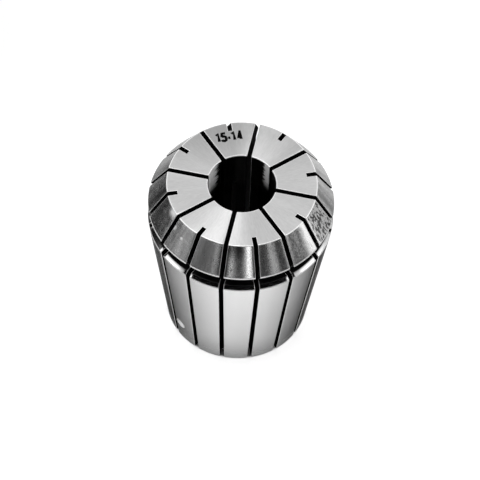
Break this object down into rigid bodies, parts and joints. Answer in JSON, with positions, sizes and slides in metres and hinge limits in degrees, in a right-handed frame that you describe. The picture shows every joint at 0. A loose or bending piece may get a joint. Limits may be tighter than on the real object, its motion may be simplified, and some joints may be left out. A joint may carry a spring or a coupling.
{
  "type": "er collet",
  "caption": "Round spring collet with a nut cone, a ring groove and a long seat taper, sawn from both ends so that its straight bore closes on a tool shank.",
  "frame": {"origin": "centre of the back face, on the collet's axis", "axes": "+Z along the bore, from the back face to the front face; +X through one of the front saw slots"},
  "size_m": [0.041, 0.041, 0.046],
  "materials": {
    "steel": "hardened spring steel, ground on the tapers, bore and face"
  },
  "bodies": {
    "root": {"collet": "steel"}
  },
  "joints": []
}
